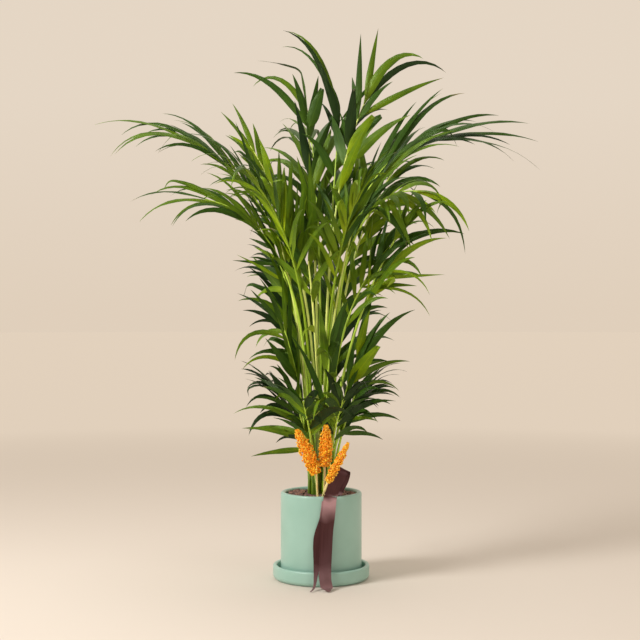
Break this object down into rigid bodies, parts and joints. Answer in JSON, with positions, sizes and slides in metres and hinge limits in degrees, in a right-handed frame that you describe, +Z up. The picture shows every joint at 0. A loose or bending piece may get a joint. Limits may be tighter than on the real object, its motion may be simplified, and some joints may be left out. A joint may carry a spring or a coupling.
{
  "type": "potted feather palm",
  "caption": "Potted feather palm with arching fronds from a clump of canes, in a round glazed pot on its saucer, with orange flower spikes and a satin ribbon.",
  "frame": {"origin": "centre of the saucer's flat underside", "axes": "+Z up along the pot's axis, -Y towards the side that the ribbon hangs on, +X to the right as seen from there"},
  "size_m": [0.849, 0.5902, 1.0575],
  "materials": {
    "glaze": "soft satin glaze, pale mint green",
    "stones": "rough reddish brown chippings",
    "buds": "matte, tightly packed orange buds on pale yellow stems",
    "satin": "satin, plum brown with a pinkish sheen",
    "cane": "smooth, dark green",
    "foliage": "satin leaf, mid to dark green",
    "bright_foliage": "satin leaf, yellow green"
  },
  "bodies": {
    "root": {"saucer": "glaze", "pot": "glaze", "potting_fill": "stones", "flower_spike_left": "buds", "flower_spike_centre": "buds", "flower_spike_right": "buds", "ribbon_loop": "satin", "ribbon_front_tail": "satin", "ribbon_back_tail": "satin", "cane_middle": "cane", "cane_left": "cane", "cane_front_left": "cane", "cane_front_right": "cane", "cane_right": "cane", "cane_back_right": "cane", "cane_back_left": "cane", "frond_far_left": "foliage", "frond_second_left": "foliage", "frond_inner_left": "foliage", "frond_tall_left": "bright_foliage", "frond_tall_centre": "bright_foliage", "frond_tall_back": "bright_foliage", "frond_far_right": "foliage", "frond_hanging_right": "foliage", "frond_broad_right": "foliage", "frond_reach_right": "foliage", "frond_front_left": "foliage", "frond_front_right": "foliage", "frond_column_left": "foliage", "frond_column_mid": "foliage", "frond_column_right": "foliage", "frond_column_front": "foliage", "frond_shoulder_left": "foliage", "frond_shoulder_high_left": "foliage", "frond_shoulder_right": "foliage", "frond_shoulder_front": "foliage", "frond_skirt_left": "foliage", "frond_skirt_right": "foliage", "frond_skirt_front_left": "foliage", "frond_skirt_front_right": "foliage", "frond_back_left": "foliage", "frond_back_mid": "foliage", "frond_back_right": "foliage", "frond_back_low_left": "foliage", "frond_back_low_right": "foliage", "frond_skirt_back_left": "foliage", "frond_skirt_back_right": "foliage"}
  },
  "joints": []
}
